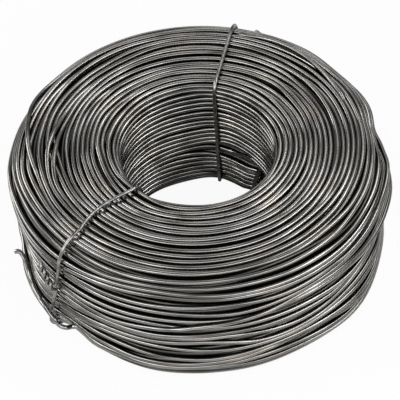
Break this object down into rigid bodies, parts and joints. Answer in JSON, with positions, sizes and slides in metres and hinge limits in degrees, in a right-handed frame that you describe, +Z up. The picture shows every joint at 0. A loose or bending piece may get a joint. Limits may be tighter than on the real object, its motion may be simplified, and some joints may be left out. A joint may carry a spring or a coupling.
{
  "type": "coil of tie wire",
  "caption": "Flat-lying coil of dark annealed tie wire with an open bore, held together by two twisted binder wires; bulk stock for tying rebar and fencing.",
  "frame": {"origin": "on the coil's axis, at the floor it lies on", "axes": "+Z up along the coil's axis; -Y is the front, the side the picture was taken from"},
  "size_m": [0.127, 0.1284, 0.0474],
  "materials": {
    "tie_wire": "dark annealed, lightly oiled",
    "binder_wire": "dark annealed, dull"
  },
  "bodies": {
    "root": {"wire_coil": "tie_wire", "binder_front": "binder_wire", "binder_back": "binder_wire"}
  },
  "joints": []
}
